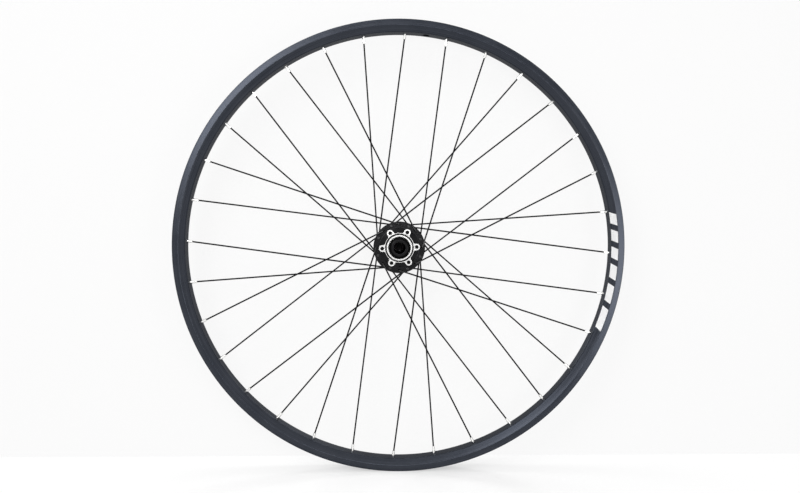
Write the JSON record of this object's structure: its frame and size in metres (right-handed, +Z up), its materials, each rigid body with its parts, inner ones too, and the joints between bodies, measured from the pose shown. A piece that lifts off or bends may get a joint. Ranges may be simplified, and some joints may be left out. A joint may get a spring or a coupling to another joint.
{
  "type": "bicycle wheel",
  "caption": "Front bicycle wheel with a black double-walled rim, crossed black spokes, silver nipples and a disc-brake hub turning on a through-axle sleeve.",
  "frame": {"origin": "centre of the wheel, on the axle's axis half way between the dropout faces", "axes": "+Y along the axle, with the brake disc side facing -Y; +Z up"},
  "size_m": [0.595, 0.1, 0.595],
  "materials": {
    "rim_black": "black anodised, satin, with fine marks along the extrusion",
    "hub_black": "black anodised, with bare machined brake disc faces",
    "cap_black": "black anodised, turned and polished",
    "axle_black": "drawn, turned and black anodised",
    "spoke_black": "drawn stainless steel, black oxide",
    "nipple_silver": "nickel plated",
    "bearing_steel": "ground",
    "seal_rubber": "moulded, matt",
    "cage_nylon": "moulded, natural",
    "rim_graphic": "printed film, white"
  },
  "bodies": {
    "axle": {"axle_sleeve": "axle_black", "end_cap_disc_side": "cap_black", "end_cap_ring_disc_side": "seal_rubber", "bearing_inner_race_disc_side": "bearing_steel", "end_cap_plain_side": "cap_black", "end_cap_ring_plain_side": "seal_rubber", "bearing_inner_race_plain_side": "bearing_steel"},
    "wheel": {"rim": "rim_black", "spoke_nipples": "nipple_silver", "hub_shell": "hub_black", "spoke_disc_leading_1": "spoke_black", "spoke_disc_leading_2": "spoke_black", "spoke_disc_leading_3": "spoke_black", "spoke_disc_leading_4": "spoke_black", "spoke_disc_leading_5": "spoke_black", "spoke_disc_leading_6": "spoke_black", "spoke_disc_leading_7": "spoke_black", "spoke_disc_leading_8": "spoke_black", "spoke_disc_trailing_1": "spoke_black", "spoke_disc_trailing_2": "spoke_black", "spoke_disc_trailing_3": "spoke_black", "spoke_disc_trailing_4": "spoke_black", "spoke_disc_trailing_5": "spoke_black", "spoke_disc_trailing_6": "spoke_black", "spoke_disc_trailing_7": "spoke_black", "spoke_disc_trailing_8": "spoke_black", "spoke_plain_leading_1": "spoke_black", "spoke_plain_leading_2": "spoke_black", "spoke_plain_leading_3": "spoke_black", "spoke_plain_leading_4": "spoke_black", "spoke_plain_leading_5": "spoke_black", "spoke_plain_leading_6": "spoke_black", "spoke_plain_leading_7": "spoke_black", "spoke_plain_leading_8": "spoke_black", "spoke_plain_trailing_1": "spoke_black", "spoke_plain_trailing_2": "spoke_black", "spoke_plain_trailing_3": "spoke_black", "spoke_plain_trailing_4": "spoke_black", "spoke_plain_trailing_5": "spoke_black", "spoke_plain_trailing_6": "spoke_black", "spoke_plain_trailing_7": "spoke_black", "spoke_plain_trailing_8": "spoke_black", "bearing_outer_race_disc_side": "bearing_steel", "bearing_shields_disc_side": "seal_rubber", "bearing_outer_race_plain_side": "bearing_steel", "bearing_shields_plain_side": "seal_rubber"},
    "ball_train_disc_side": {"bearing_balls_disc_side": "bearing_steel", "bearing_cage_disc_side": "cage_nylon"},
    "ball_train_plain_side": {"bearing_balls_plain_side": "bearing_steel", "bearing_cage_plain_side": "cage_nylon"}
  },
  "joints": [
    {"name": "wheel_spin", "type": "hinge", "parent": "axle", "child": "wheel", "pos_m": [0, 0, 0], "axis": [0, 1, 0], "continuous": true},
    {"name": "ball_train_disc_side_spin", "type": "hinge", "parent": "axle", "child": "ball_train_disc_side", "pos_m": [0, 0, 0], "axis": [0, 1, 0], "continuous": true},
    {"name": "ball_train_plain_side_spin", "type": "hinge", "parent": "axle", "child": "ball_train_plain_side", "pos_m": [0, 0, 0], "axis": [0, 1, 0], "continuous": true}
  ],
  "couplings": [
    {"joint": "ball_train_disc_side_spin", "follows": "wheel_spin", "ratio": 0.57778},
    {"joint": "ball_train_plain_side_spin", "follows": "wheel_spin", "ratio": 0.57778}
  ]
}
